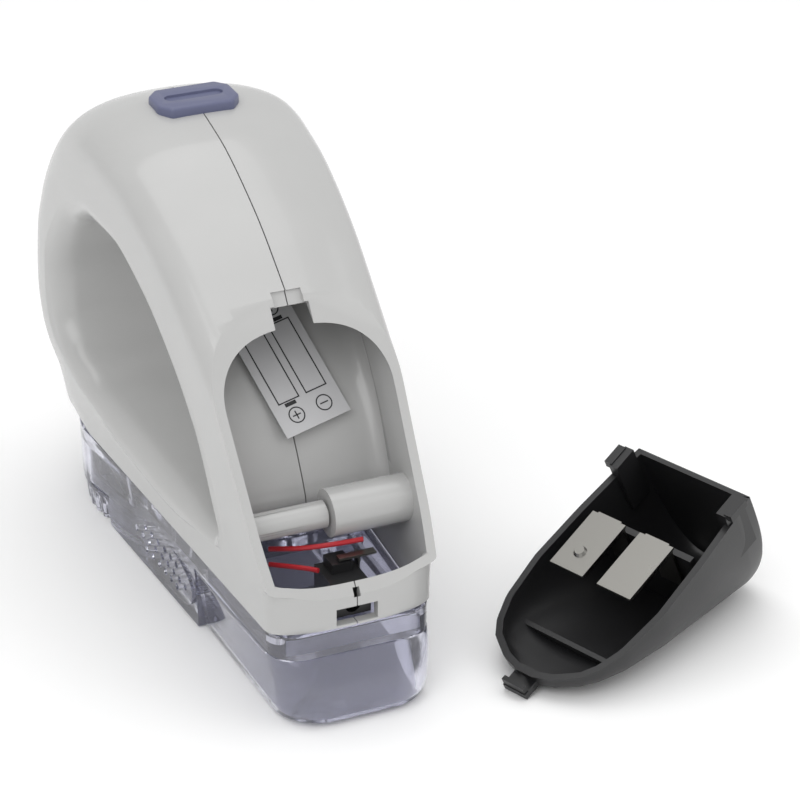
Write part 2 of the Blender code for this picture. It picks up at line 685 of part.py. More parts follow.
def jack_parts():
    body = box("jack_body", (-4.4, -36.9, 23.4), (4.4, -25.0, 31.0), mat=material("black_moulding", (0.02,) * 3, 0.4))
    top = box("jack_hood", (-2.4, -31.0, 30.5), (2.4, -25.6, 33.4), cutter=True)
    bore = cylinder("jack_bore", 1.9, 9.0, (0, -37.5, 25.9), (0, 1, 0), cutter=True, sides=12)
    join(body, top)
    cut(body, bore)
    cylinder("jack_pin", 0.6, 8.0, (0, -36.5, 25.9), (0, 1, 0), mat=steel(), sides=8)
    box("jack_leaf", (-0.5, -30.6, 33.8), (8.5, -28.6, 34.4), mat=nickel())
    box("jack_terminal", (5.0, -28.2, 26.0), (5.5, -26.0, 33.3), mat=nickel())


def wires():
    red = red_sleeve()
    wire("wire_side", [(-18.2, -8.5, 58.0), (-18.6, -13.0, 52.0), (-18.2, -16.4, 44.5), (-17.0, -16.6, 36.0)], 0.6, red)
    wire("wire_jack_front", [(-13.0, -19.5, 34.0), (-7.0, -24.0, 35.2), (0.0, -26.5, 36.0), (6.6, -27.3, 36.2)], 0.6, red)
    wire("wire_jack_rear", [(-14.0, -22.0, 31.6), (-8.0, -27.5, 32.2), (-5.6, -30.5, 32.6)], 0.6, red)


# ---------------------------------------------------------------- battery cover

def cover_matrix():
    """The cover lies on its back beside the body, rim up and nose towards the body."""
    frame = Matrix.Rotation(COVER_TURN, 4, "Z") @ Matrix.Rotation(-COVER_TILT, 4, "Y")
    frame = Matrix.Rotation(math.radians(0.0), 4, "X") @ frame
    frame.translation = Vector(COVER_NOSE) * MM
    return frame


def cover_half_width(u):
    """Half width of the rim: a round nose, a full middle and a slightly narrower square end."""
    return np.interp(u, [0.0, 1.5, 5.1, 9.0, 15.5, 28.0, 44.0, 59.0, COVER_LENGTH],
                     [2.5, 7.4, 13.0, 15.8, 18.2, 19.6, 19.0, 17.8, 16.8])


def cover_depth(u):
    """Depth of the outside below the rim: it follows the straight back, then turns up at the square end."""
    straight = 4.0 + u * math.tan(COVER_TILT)
    left = np.clip((u - (COVER_LENGTH - 7.0)) / 7.0, 0.0, 1.0)
    return straight * (0.86 + 0.14 * np.sqrt(1.0 - left ** 2))


def cover_shell():
    stations = np.array([0.0, 1.5, 5.0, 9.0, 15.5, 28.0, 44.0, 56.0, 60.0, 62.5, 64.2, 65.1, COVER_LENGTH])
    across = np.linspace(0.0, math.pi, 17)
    vertices = []
    for u in stations:
        width, depth = cover_half_width(u), cover_depth(u)
        cos, sin = np.cos(across), np.sin(across)
        v = width * np.sign(cos) * np.abs(cos) ** 0.72
        h = -depth * np.abs(sin) ** 0.72
        vertices += [(u, a, b) for a, b in zip(v, h)]
    n = len(across)
    faces = [(i * n + j, i * n + j + 1, (i + 1) * n + j + 1, (i + 1) * n + j)
             for i in range(len(stations) - 1) for j in range(n - 1)]
    faces.append(tuple(reversed(range(n))))
    faces.append(tuple(range((len(stations) - 1) * n, len(stations) * n)))
    obj = add_object("battery_cover", mesh_from("battery_cover", vertices, faces), charcoal())
    bm = bmesh.new()
    bm.from_mesh(obj.data)
    bmesh.ops.remove_doubles(bm, verts=bm.verts, dist=0.000001)
    bmesh.ops.recalc_face_normals(bm, faces=bm.faces)
    low = min(bm.faces, key=lambda f: f.calc_center_median().z)
    if low.normal.z > 0:
        bmesh.ops.reverse_faces(bm, faces=bm.faces)
    bm.to_mesh(obj.data)
    bm.free()
    thick = obj.modifiers.new("wall", "SOLIDIFY")
    thick.thickness = COVER_WALL * MM
    thick.offset = -1.0
    return obj


def cover_parts():
    place = cover_matrix()
    cover = cover_shell()
    extras = [
        box("holder_wall", (44.0, -15.0, -24.0), (45.6, 15.0, -1.0), cutter=True),
        box("cross_rib", (14.0, -18.0, -10.0), (15.2, 18.0, -6.4), cutter=True),
        box("nose_tab", (-4.2, -3.4, -3.0), (2.6, 3.4, -1.4), cutter=True),
        box("nose_tab_lip", (-4.0, -3.2, -2.6), (-2.8, 3.2, 0.6), cutter=True),
    ]
    for side in (-1, 1):
        low, high = sorted((side * 15.0, side * 17.6))
        extras.append(box("latch_%d" % side, (56.0, low, -12.0), (62.5, high, 3.6), cutter=True))
        low, high = sorted((side * 17.0, side * 19.2))
        extras.append(box("latch_hook_%d" % side, (56.4, low, 1.9), (62.1, high, 3.9), cutter=True))
    for obj in [cover] + extras:
        obj.matrix_world = place
    join(cover, *extras)
    for k, side in enumerate((1, -1)):
        low, high = sorted((side * 2.2, side * 12.2))
        leaf = box("contact_leaf_%d" % (k + 1), (26.5, low, 3.2), (43.2, high, 3.8), mat=nickel())
        back = box("leaf_back_%d" % (k + 1), (43.0, low + 1.5, -12.0), (43.6, high - 1.5, 3.8), cutter=True)
        under = box("leaf_under_%d" % (k + 1), (28.0, low + 1.0, 1.4), (43.4, high - 1.0, 2.0), cutter=True)
        leaf.matrix_world = place
        back.matrix_world = place
        under.matrix_world = place
        join(leaf, back, under)
        if side > 0:
            dimple = cylinder("leaf_dimple", 2.2, 1.6, (32.0, side * 7.2, 3.0), cutter=True, sides=12, top_radius=1.2)
            dimple.matrix_world = place @ Matrix.Translation(Vector((32.0, side * 7.2, 3.0)) * MM)
            join(leaf, dimple)


# ---------------------------------------------------------------- fasteners

def screws():
    screw("boss_screw", 2.9, 9.0, (6.3, BOSS_Y, BOSS_Z), (-1, 0, 0))
    for side, tag in ((-1, "left"), (1, "right")):
        screw("front_base_screw_" + tag, 2.4, 13.0, (side * FRONT_POST_X, FRONT_POST_Y, 13.7), (0, 0, 1))
        screw("rear_base_screw_" + tag, 2.4, 7.0, (side * REAR_POST_X, REAR_POST_Y, 20.0), (0, 0, 1))


def main():
    clear_scene()
    left_shell()
    right_shell()
    lint_container()
    base_frame()
    head_parts()
    rotor_parts()
    motor_parts()
    switch_parts()
    switch_inside()
    bay_parts()
    jack_parts()
    wires()
    cover_parts()
    screws()


main()
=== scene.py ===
import math
import bmesh
import bpy
import numpy as np
from mathutils import Matrix, Vector


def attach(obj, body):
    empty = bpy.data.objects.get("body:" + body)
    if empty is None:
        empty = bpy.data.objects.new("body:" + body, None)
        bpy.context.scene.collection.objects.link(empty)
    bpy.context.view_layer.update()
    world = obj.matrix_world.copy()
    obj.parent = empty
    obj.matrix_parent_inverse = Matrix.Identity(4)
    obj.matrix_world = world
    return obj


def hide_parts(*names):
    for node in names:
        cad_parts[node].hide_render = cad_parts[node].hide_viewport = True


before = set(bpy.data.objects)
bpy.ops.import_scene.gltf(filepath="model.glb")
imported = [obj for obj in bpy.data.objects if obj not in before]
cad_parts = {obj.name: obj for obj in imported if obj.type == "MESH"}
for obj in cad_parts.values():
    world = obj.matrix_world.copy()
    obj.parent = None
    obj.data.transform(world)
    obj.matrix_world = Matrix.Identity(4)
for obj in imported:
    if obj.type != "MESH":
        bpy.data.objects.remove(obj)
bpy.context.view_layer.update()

MM = 0.001

# Shell loop, millimetres
WALL = 2.2
SEAM_GAP = 0.15
SHELL_BOTTOM = 22.4
MOUTH_ACROSS = 7.0
MOUTH_DEEP = 6.0
CROWN_POWER = 2.6
LOOP_STEPS = 220
REAR_HALF_WIDTH = 19.9
WIDTH_GROWTH = 0.060
BOSS = (-21.0, 41.0)          # y and z of the line that the shells are screwed together on
# y and z on the rim line, y and z on the finger hole, and the depth of the rounded crown
STATIONS = np.array([
    (-39.6, 16.0, -5.5, 34.5, 7.0),
    (-39.6, 24.0, -7.0, 36.0, 7.0),
    (-39.6, 31.5, -7.5, 38.0, 7.0),
    (-52.0, 34.0, -6.5, 40.5, 9.0),
    (-54.0, 43.0, -4.0, 45.0, 9.0),
    (-30.0, 63.5, 2.0, 54.0, 9.0),
    (0.0, 86.0, 14.0, 65.5, 8.5),
    (20.0, 99.3, 30.0, 76.5, 9.5),
    (42.0, 108.5, 46.0, 82.5, 11.5),
    (60.0, 111.5, 60.0, 83.0, 13.5),
    (78.0, 107.5, 71.0, 79.0, 17.0),
    (93.0, 95.0, 80.0, 70.0, 18.0),
    (103.0, 77.0, 85.0, 60.0, 18.0),
    (106.5, 57.0, 84.5, 50.0, 19.0),
    (105.0, 40.0, 80.0, 43.0, 20.0),
    (100.0, 28.0, 73.0, 39.5, 21.0),
    (96.0, 16.0, 66.0, 37.0, 24.0),
    (60.0, 16.0, 50.0, 35.5, 4.0),
    (20.0, 16.0, 20.0, 33.5, 4.0),
    (-20.0, 16.0, 4.0, 33.5, 4.0),
])
OPENING_Y = -37.9
OPENING_Z = 32.5
OPENING_LEAN = math.atan2(0.7054, 1.0)

HEAD_Y = 72.0
HEAD_RADIUS = 26.5
RING_HEIGHT = 7.4
DECK_LOW = 17.5
CONTAINER_FRONT = 6.7
CONTAINER_TOP = 16.0
BAND_LOW = 16.3
BAND_TOP = 22.1
FRAME_REAR = 7.2
CLEAR_WALL = 1.8
VENT_Y = 27.6
OVAL_POWER = 0.8
AIR_HOLE_RADIUS = 0.95
AIR_HOLE_PITCH = 3.9
SWITCH_Y = 58.0
SWITCH_TOP = 112.9
SWITCH_TRAVEL = 5.0

COVER_LENGTH = 65.5
COVER_WALL = 1.7
COVER_TILT = math.radians(26.4)
COVER_TURN = math.radians(21.9)
COVER_NOSE = (37.6, -47.6, 4.6)

LABEL_SLOPE = math.radians(43.0)
LABEL_SKEW = math.radians(-13.0)
LABEL_MIDDLE = (2.0, 8.2, 65.4)


# ---------------------------------------------------------------- mesh helpers

def grid_faces(rows, columns, wrap):
    """Quads between neighbours of a grid, joined across its last column if it wraps."""
    i = np.arange(rows - 1)[:, None]
    j = np.arange(columns if wrap else columns - 1)[None, :]
    k = (j + 1) % columns
    corners = (i * columns + j, i * columns + k, (i + 1) * columns + k, (i + 1) * columns + j)
    return np.stack(np.broadcast_arrays(*corners), axis=-1).reshape(-1, 4)


def piece(name, points, faces, place=None):
    """Mesh object from points in millimetres, with a placing matrix applied to the mesh itself."""
    mesh = bpy.data.meshes.new(name)
    mesh.from_pydata((np.asarray(points).reshape(-1, 3) * MM).tolist(), [], faces)
    if place is not None:
        mesh.transform(place)
    obj = bpy.data.objects.new(name, mesh)
    bpy.context.scene.collection.objects.link(obj)
    return obj


def outward(obj):
    """Turns every face of a closed mesh outwards."""
    bm = bmesh.new()
    bm.from_mesh(obj.data)
    bmesh.ops.remove_doubles(bm, verts=bm.verts, dist=1e-6)
    bmesh.ops.recalc_face_normals(bm, faces=bm.faces)
    bm.to_mesh(obj.data)
    bm.free()
    return obj


def block(name, low, high, place=None):
    """Box between two corners."""
    pick = np.array([(x, y, z) for z in (0, 1) for y in (0, 1) for x in (0, 1)])
    points = np.array(low) + pick * (np.array(high) - np.array(low))
    faces = [(0, 2, 3, 1), (4, 5, 7, 6), (0, 1, 5, 4), (2, 6, 7, 3), (0, 4, 6, 2), (1, 3, 7, 5)]
    return piece(name, points, faces, place)


def lathe(name, profile, steps=96, place=None):
    """Closed profile of radius and height carried round the vertical: (r cos a, r sin a, h)."""
    r, h = np.array(profile, float).T
    a = np.linspace(0, 2 * math.pi, steps, endpoint=False)[:, None]
    grid = np.stack([r * np.cos(a), r * np.sin(a), np.broadcast_to(h, (steps, len(r)))], -1)
    grid = np.concatenate([grid, grid[:1]])
    return outward(piece(name, grid, grid_faces(steps + 1, len(r), True).tolist(), place))


def rod(name, radius, length, base, axis, steps=32):
    """Round bar from base along axis, capped at both ends."""
    place = Vector(axis).normalized().to_track_quat("Z", "Y").to_matrix().to_4x4()
    place.translation = Vector(base) * MM
    a = np.linspace(0, 2 * math.pi, steps, endpoint=False)
    rings = np.array([[np.cos(a) * radius, np.sin(a) * radius, np.full(steps, z)] for z in (0, length)])
    faces = grid_faces(2, steps, True).tolist()
    faces += [list(range(steps))[::-1], list(range(steps, 2 * steps))]
    return piece(name, rings.transpose(0, 2, 1), faces, place)


def slab(name, outline, low, high, place=None):
    """Flat plate with a closed outline, between two heights."""
    outline = np.array(outline, float)
    n = len(outline)
    points = np.concatenate([np.c_[outline, np.full(n, low)], np.c_[outline, np.full(n, high)]])
    faces = grid_faces(2, n, True).tolist() + [list(range(n))[::-1], list(range(n, 2 * n))]
    return outward(piece(name, points, faces, place))


def loft(name, rings):
    """Closed solid through level outlines of equal count."""
    rings = np.array(rings)
    n = rings.shape[1]
    faces = grid_faces(len(rings), n, True).tolist()
    faces += [list(range(n))[::-1], list(range((len(rings) - 1) * n, len(rings) * n))]
    return outward(piece(name, rings, faces))


def shaped(obj, cuts=(), adds=(), solver="EXACT"):
    """Adds and cuts other solids, and keeps the result as a plain mesh."""
    for other, operation in [(o, "UNION") for o in adds] + [(o, "DIFFERENCE") for o in cuts]:
        step = obj.modifiers.new(other.name, "BOOLEAN")
        step.operation = operation
        step.solver = solver
        step.object = other
    return settled(obj, list(adds) + list(cuts))


def settled(obj, used=()):
    """Replaces an object's mesh with its modifiers' result and removes the helpers."""
    bpy.context.view_layer.update()
    result = bpy.data.meshes.new_from_object(obj.evaluated_get(bpy.context.evaluated_depsgraph_get()))
    obj.modifiers.clear()
    obj.data = result
    for other in used:
        bpy.data.objects.remove(other)
    return obj


def softened(obj, width, segments=2, angle=40):
    """Rounds sharp edges."""
    bevel = obj.modifiers.new("edge", "BEVEL")
    bevel.width = width * MM
    bevel.segments = segments
    bevel.limit_method = "ANGLE"
    bevel.angle_limit = math.radians(angle)
    return settled(obj)


def shown(obj, mat, body, slot, *nodes, angle=32):
    """Smooth shading, material, body and the CAD nodes that the piece stands for; the slot argument is not
    used.
    """
    obj.data.materials.clear()
    obj.data.materials.append(mat)
    obj.data.shade_smooth()
    obj.data.set_sharp_from_angle(angle=math.radians(angle))
    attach(obj, body)
    if nodes:
        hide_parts(*nodes)
    return obj


# ---------------------------------------------------------------- materials

def moulded_group():
    """Fine moulding texture: a colour factor, a roughness and a normal from two noises."""
    group = bpy.data.node_groups.new("moulded_surface", "ShaderNodeTree")
    for name, kind in (("Colour", "NodeSocketColor"), ("Roughness", "NodeSocketFloat"),
                       ("Grain", "NodeSocketFloat"), ("Depth", "NodeSocketFloat")):
        group.interface.new_socket(name, in_out="INPUT", socket_type=kind)
    for name, kind in (("Colour", "NodeSocketColor"), ("Roughness", "NodeSocketFloat"),
                       ("Normal", "NodeSocketVector")):
        group.interface.new_socket(name, in_out="OUTPUT", socket_type=kind)
    nodes, links = group.nodes, group.links
    given = nodes.new("NodeGroupInput")
    out = nodes.new("NodeGroupOutput")
    where = nodes.new("ShaderNodeTexCoord")
    cloud = nodes.new("ShaderNodeTexNoise")
    cloud.inputs["Scale"].default_value = 60.0
    cloud.inputs["Detail"].default_value = 5.0
    links.new(where.outputs["Object"], cloud.inputs["Vector"])
    grain = nodes.new("ShaderNodeTexNoise")
    grain.inputs["Detail"].default_value = 3.0
    links.new(where.outputs["Object"], grain.inputs["Vector"])
    links.new(given.outputs["Grain"], grain.inputs["Scale"])
    shade = nodes.new("ShaderNodeMapRange")
    shade.inputs["To Min"].default_value = 0.955
    shade.inputs["To Max"].default_value = 1.03
    links.new(cloud.outputs["Fac"], shade.inputs["Value"])
    tint = nodes.new("ShaderNodeVectorMath")
    tint.operation = "SCALE"
    links.new(given.outputs["Colour"], tint.inputs[0])
    links.new(shade.outputs["Result"], tint.inputs["Scale"])
    links.new(tint.outputs["Vector"], out.inputs["Colour"])
    wander = nodes.new("ShaderNodeMapRange")
    wander.inputs["To Min"].default_value = -0.035
    wander.inputs["To Max"].default_value = 0.05
    links.new(cloud.outputs["Fac"], wander.inputs["Value"])
    rough = nodes.new("ShaderNodeMath")
    rough.operation = "ADD"
    links.new(given.outputs["Roughness"], rough.inputs[0])
    links.new(wander.outputs["Result"], rough.inputs[1])
    links.new(rough.outputs["Value"], out.inputs["Roughness"])
    bump = nodes.new("ShaderNodeBump")
    bump.inputs["Strength"].default_value = 0.25
    links.new(grain.outputs["Fac"], bump.inputs["Height"])
    links.new(given.outputs["Depth"], bump.inputs["Distance"])
    links.new(bump.outputs["Normal"], out.inputs["Normal"])
    return group


MOULDED = moulded_group()


def finish_of(name, colour, roughness, grain=900.0, depth=0.00004, metallic=0.0, clear=0.0, coat=0.0):
    """Principled material fed by the moulded surface group."""
    mat = bpy.data.materials.new(name)
    mat.use_nodes = True
    nodes, links = mat.node_tree.nodes, mat.node_tree.links
    shader = nodes["Principled BSDF"]
    shader.inputs["Metallic"].default_value = metallic
    shader.inputs["Transmission Weight"].default_value = clear
    shader.inputs["Coat Weight"].default_value = coat
    surface = nodes.new("ShaderNodeGroup")
    surface.node_tree = MOULDED
    surface.inputs["Colour"].default_value = (*colour, 1.0)
    surface.inputs["Roughness"].default_value = roughness
    surface.inputs["Grain"].default_value = grain
    surface.inputs["Depth"].default_value = depth
    links.new(surface.outputs["Colour"], shader.inputs["Base Color"])
    links.new(surface.outputs["Roughness"], shader.inputs["Roughness"])
    links.new(surface.outputs["Normal"], shader.inputs["Normal"])
    return mat


SHELL_WHITE = finish_of("shell_white", (0.47, 0.47, 0.465), 0.24, depth=0.00001, coat=0.3)
CLEAR_LILAC = finish_of("clear_lilac", (0.86, 0.865, 0.97), 0.04, depth=0.000005, clear=0.92)
GREY = finish_of("grey_moulding", (0.17, 0.17, 0.18), 0.45)
STEEL = finish_of("rolled_steel", (0.55, 0.55, 0.57), 0.28, grain=2500.0, metallic=1.0)
NICKEL = finish_of("nickel_plate", (0.24, 0.235, 0.22), 0.28, grain=1500.0, metallic=1.0)
BLACK = finish_of("black_moulding", (0.012, 0.012, 0.013), 0.35)
COPPER = finish_of("copper_winding", (0.62, 0.26, 0.13), 0.35, metallic=1.0)
BRASS = finish_of("bush_brass", (0.66, 0.48, 0.22), 0.3, metallic=1.0)
VIOLET = finish_of("switch_violet", (0.12, 0.13, 0.22), 0.38)
CHARCOAL = finish_of("cover_charcoal", (0.014, 0.014, 0.015), 0.38, grain=1400.0, depth=0.00006)
RED = finish_of("wire_red", (0.42, 0.012, 0.02), 0.35)
PAPER = finish_of("label_foil", (0.55, 0.55, 0.56), 0.42, grain=3000.0)
PRINT = finish_of("label_print", (0.02, 0.02, 0.022), 0.5)


# ---------------------------------------------------------------- shell halves

def eased(value, low, high):
    """Smooth step from 0 at low to 1 at high."""
    t = np.clip((value - low) / (high - low), 0.0, 1.0)
    return t * t * (3.0 - 2.0 * t)


def closed_monotone(v, steps):
    """Points round a closed list of values, by cubic pieces that never overshoot a station."""
    rise = np.roll(v, -1) - v
    before = np.roll(rise, 1)
    same_sign = (rise * before) > 0
    slope = np.where(same_sign, 2 * rise * before / np.where(same_sign, rise + before, 1.0), 0.0)
    place = np.arange(steps) * len(v) / steps
    i = place.astype(int)
    j = (i + 1) % len(v)
    t = place - i
    return ((2 * t ** 3 - 3 * t ** 2 + 1) * v[i] + (t ** 3 - 2 * t ** 2 + t) * slope[i]
            + (3 * t ** 2 - 2 * t ** 3) * v[j] + (t ** 3 - t ** 2) * slope[j])


def half_width(y, z):
    """Half the body's width: it grows to the head and bulges above the base."""
    bulge = (1.2 + 0.6 * eased(y, 0.0, 75.0)) * eased(z, SHELL_BOTTOM, 45.0)
    return REAR_HALF_WIDTH + (y + 35.0) * WIDTH_GROWTH + bulge


def loop_surface(tunnel=6, mouth=12, side=12, crown=26):
    """Left skin. Section parameter: flat tunnel, quarter-round mouth, side, then a crown that is a
    superellipse in depth and width; loop parameter: monotone cubics through the stations."""
    rim_y, rim_z, hole_y, hole_z, top = (closed_monotone(c, LOOP_STEPS) for c in STATIONS.T)
    reach = np.hypot(rim_y - hole_y, rim_z - hole_z)
    top = np.minimum(top, reach - MOUTH_DEEP - 2.0)
    zero = np.zeros_like(reach)
    t = (np.arange(tunnel) / tunnel)[:, None]
    a = (np.arange(mouth) / mouth * math.pi / 2)[:, None]
    s = (np.arange(side) / side)[:, None]
    b = (np.linspace(0.0, 1.0, crown + 1) * math.pi / 2)[:, None]
    along = np.concatenate([t * 0 + zero, MOUTH_DEEP * (1 - np.cos(a)) + zero,
                            MOUTH_DEEP + (reach - top - MOUTH_DEEP) * s,
                            reach - top + top * np.sin(b) ** (2 / CROWN_POWER)])
    k = along / reach
    y = hole_y + (rim_y - hole_y) * k
    z = hole_z + (rim_z - hole_z) * k
    mouth_width = half_width(hole_y, hole_z)
    x = half_width(y, z)
    share = np.concatenate([t * 0 + 1, a * 0 + 1, s * 0 + 1, np.clip(np.cos(b), 0, 1) ** (2 / CROWN_POWER)])
    x = x * share
    x[:tunnel] = (mouth_width - MOUTH_ACROSS) * t
    x[tunnel:tunnel + mouth] = mouth_width - MOUTH_ACROSS * (1 - np.sin(a))
    rows = np.stack([-x, y, z], axis=-1)
    flat, past = np.array([0, 1, 1]), np.array([1, 0, 0])
    return np.concatenate([rows[:1] * flat + past, rows, rows[-1:] * flat + past])


def opening_matrix():
    """X across, Y up along the opening's plane, Z out of the body."""
    up = Vector((0.0, math.sin(OPENING_LEAN), math.cos(OPENING_LEAN)))
    across = Vector((1.0, 0.0, 0.0))
    place = Matrix((across, up, across.cross(up))).transposed().to_4x4()
    place.translation = Vector((0.0, OPENING_Y, OPENING_Z)) * MM
    return place


def cut_skin():
    """Left skin with its wall, cut at the base, the opening, the middle, the switch slot and the inlet."""
    rows = loop_surface()
    obj = piece("shell_left", rows, grid_faces(rows.shape[0], rows.shape[1], True)[:, ::-1].tolist())
    thick = obj.modifiers.new("wall", "SOLIDIFY")
    thick.thickness = WALL * MM
    thick.offset = -1.0
    thick.use_even_offset = False
    settled(obj)
    return shaped(obj, [block("floor_cut", (-60, -80, -5), (60, 140, SHELL_BOTTOM)),
                        block("opening_cut", (-60, -60, 0), (60, 120, 60), opening_matrix()),
                        block("middle_cut", (-SEAM_GAP, -80, 0), (60, 140, 130)),
                        block("slot_cut", (-10.8, SWITCH_Y - 7.2, 100),
                              (10.8, SWITCH_Y + 7.1 + SWITCH_TRAVEL, 125)),
                        block("inlet_cut", (-5.0, -45, 23.0), (5.0, -36, 27.2)),
                        block("latch_step", (-4.6, 57.0, -2.2), (4.6, 63.6, 6.0), opening_matrix()),
                        block("latch_notch", (-3.6, 57.0, -1.2), (3.6, 67.0, 6.0), opening_matrix()),
                        block("lip_slot", (-0.8, -3.4, -4.0), (0.8, -1.2, 4.0), opening_matrix())],
                  solver="FAST")


def mirrored(obj, name):
    """The same mesh on the other side, its faces turned back outwards."""
    mesh = obj.data.copy()
    mesh.transform(Matrix.Scale(-1.0, 4, (1.0, 0.0, 0.0)))
    mesh.flip_normals()
    other = bpy.data.objects.new(name, mesh)
    bpy.context.scene.collection.objects.link(other)
    return other


left = cut_skin()
right = mirrored(left, "shell_right")
left = shaped(left, [rod("pilot", 1.45, 12.0, (1.0, *BOSS), (-1, 0, 0))],
              [rod("boss", 3.2, 20.0, (-20.3, *BOSS), (1, 0, 0))], "FAST")
right = shaped(right, [rod("counterbore", 3.4, 20.0, (6.0, *BOSS), (1, 0, 0)),
                       rod("sleeve_hole", 1.6, 8.0, (-1.0, *BOSS), (1, 0, 0))],
               [rod("sleeve", 5.6, 20.2, (0.4, *BOSS), (1, 0, 0))], "FAST")
shown(left, SHELL_WHITE, "body", "shell_white", "left_shell")
shown(right, SHELL_WHITE, "body", "shell_white", "right_shell")


# ---------------------------------------------------------------- clear base, container and ring

def side_width(y, z):
    """Half width of the base's sides, with draft towards the floor."""
    share = eased(z, 0.0, 24.0)
    return 21.5 + (HEAD_RADIUS - 21.5) * share + (y - HEAD_Y) * (0.03 + 0.036 * share)


def plan_ring(z, front, inset=0.0, corner=8.0, head=0.0):
    """Level outline: rounded rear corners, straight sides and a flat or round front."""
    rear = np.interp(z, [0, 1.4, 5, 10.8, 14.3, 16.6, 30], [-43.2, -44.4, -44.8, -43.4, -41.7, -39.9, -39.6])
    a = np.linspace(0, math.pi / 2, 16)
    y = rear + inset + corner * (1 - np.cos(a))
    x = side_width(y, z) - inset - corner * (1 - np.sin(a))
    if head:
        turn = head - inset
        meet = HEAD_Y - turn * 0.35
        b = np.linspace(0, math.pi / 2, 28)
        x = np.concatenate([x, [max(side_width(meet, z) - inset, math.sqrt(turn ** 2 - (turn * 0.35) ** 2))],
                            turn * np.cos(b)])
        y = np.concatenate([y, [meet], HEAD_Y + turn * np.sin(b)])
        x[-1] = 0.0
        mirror = slice(-2, None, -1)
    else:
        x = np.append(x, side_width(front, z) - inset)
        y = np.append(y, front - inset)
        mirror = slice(None, None, -1)
    x, y = np.append(x, -x[mirror]), np.append(y, y[mirror])
    return np.stack([x, y, np.full_like(x, z)], axis=-1)


def clear_container():
    levels = np.array([0.0, 0.4, 1.4, 3.0, 5.0, 8.0, 10.8, 14.3, CONTAINER_TOP])
    insets = np.array([0.9, 0.5, 0.2, 0.05, 0, 0, 0, 0, 0])
    obj = loft("lint_box", [plan_ring(z, CONTAINER_FRONT + i, i, 11.0 - 0.25 * z)
                            for z, i in zip(levels, insets)])
    inner = loft("box_hollow", [plan_ring(z, CONTAINER_FRONT, CLEAR_WALL, 9.0)
                                for z in (1.8, 3.0, 5.0, 8.0, 10.8, 14.3, CONTAINER_TOP + 1)])
    return softened(shaped(obj, [inner, block("box_mouth", (-13, 0, 4), (13, 12, 20))]), 0.25)


def vent_oval(side, half_long, half_high, depth, centre):
    """Oval slab upright on the side wall."""
    a = np.linspace(0, 2 * math.pi, 64, endpoint=False)
    place = Matrix.Translation(Vector((centre, VENT_Y, 8.6)) * MM)
    place = place @ Matrix.Rotation(math.radians(-0.5 * side), 4, "Z")
    place = place @ Matrix.Rotation(math.radians(90), 4, "Y")
    x = half_high * np.sign(np.cos(a)) * np.abs(np.cos(a)) ** OVAL_POWER
    y = half_long * np.sign(np.sin(a)) * np.abs(np.sin(a)) ** OVAL_POWER
    return slab("oval", np.stack([x, y], -1), -depth / 2, depth / 2, place)


def clear_base():
    obj = loft("clear_base", [plan_ring(z, 0, 0.0, 7.0, HEAD_RADIUS - 0.02 * (BAND_TOP - z))
                              for z in (0.3, 3.0, 6.0, 9.0, 12.0, BAND_LOW, BAND_TOP)])
    vents = [vent_oval(side, 20.0, 6.0, 3.6, side * 20.6) for side in (-1, 1)]
    holes = []
    for side in (-1, 1):
        for z, count, shift in ((5.6, 6, 0.5), (8.6, 9, 0.0), (11.6, 6, 0.5)):
            middle = (count - 1) / 2
            holes += [rod("air_hole", AIR_HOLE_RADIUS, 14.0,
                          (side * 14.0, VENT_Y + (k - middle) * AIR_HOLE_PITCH, z), (side, 0, 0), 14)
                      for k in range(count)]
    obj = shaped(obj, [block("container_room", (-40, -60, -2), (40, FRAME_REAR, BAND_LOW)),
                       rod("ring_room", HEAD_RADIUS + 0.2, 12.0, (0, HEAD_Y, -4.0), (0, 0, 1), 96),
                       block("front_room", (-40, HEAD_Y, -4), (40, 110, 8))])
    obj = shaped(obj, [rod("fan_chamber", 23.6, 11.0, (0, HEAD_Y, DECK_LOW - 11.0), (0, 0, 1), 96),
                       block("lint_duct", (-14.5, 0, 3), (14.5, 60, 15)),
                       block("band_room", (-15.5, -36, 10), (15.5, 3, 20.3)),
                       rod("motor_well", 12.7, 9.0, (0, HEAD_Y, 19.0), (0, 0, 1), 64),
                       rod("shaft_bore", 3.2, 12.0, (0, HEAD_Y, 12.0), (0, 0, 1), 32)] + holes, vents)
    return softened(obj, 0.18, 1)


def ribbed_ring():
    """Ring whose outside ripples: r + 0.35 cos(60 a), faded out towards the top, over a stepped profile."""
    profile = np.array([(25.0, 0.0), (25.3, 2.5), (25.6, 5.0), (26.0, 6.6), (25.8, RING_HEIGHT),
                        (24.3, RING_HEIGHT), (23.9, 6.9), (23.3, 3.4), (22.6, 3.0), (22.6, 0.2), (22.9, 0.0)])
    steps = 480
    a = np.linspace(0, 2 * math.pi, steps, endpoint=False)[:, None]
    r = np.broadcast_to(profile[:, 0], (steps, len(profile))).copy()
    r[:, :3] -= 0.3 + 0.3 * np.cos(40 * a)
    z = np.broadcast_to(profile[:, 1], r.shape)
    grid = np.stack([r * np.cos(a), HEAD_Y + r * np.sin(a), z], axis=-1)
    grid = np.concatenate([grid, grid[:1]])
    return outward(piece("height_ring_ribbed", grid, grid_faces(steps + 1, len(profile), True).tolist()))


shown(clear_container(), CLEAR_LILAC, "container", "clear_lilac", "lint_container")
shown(clear_base(), CLEAR_LILAC, "body", "clear_lilac", "base_frame")
shown(ribbed_ring(), CLEAR_LILAC, "ring", "clear_lilac", "height_ring")


# ---------------------------------------------------------------- slide switch

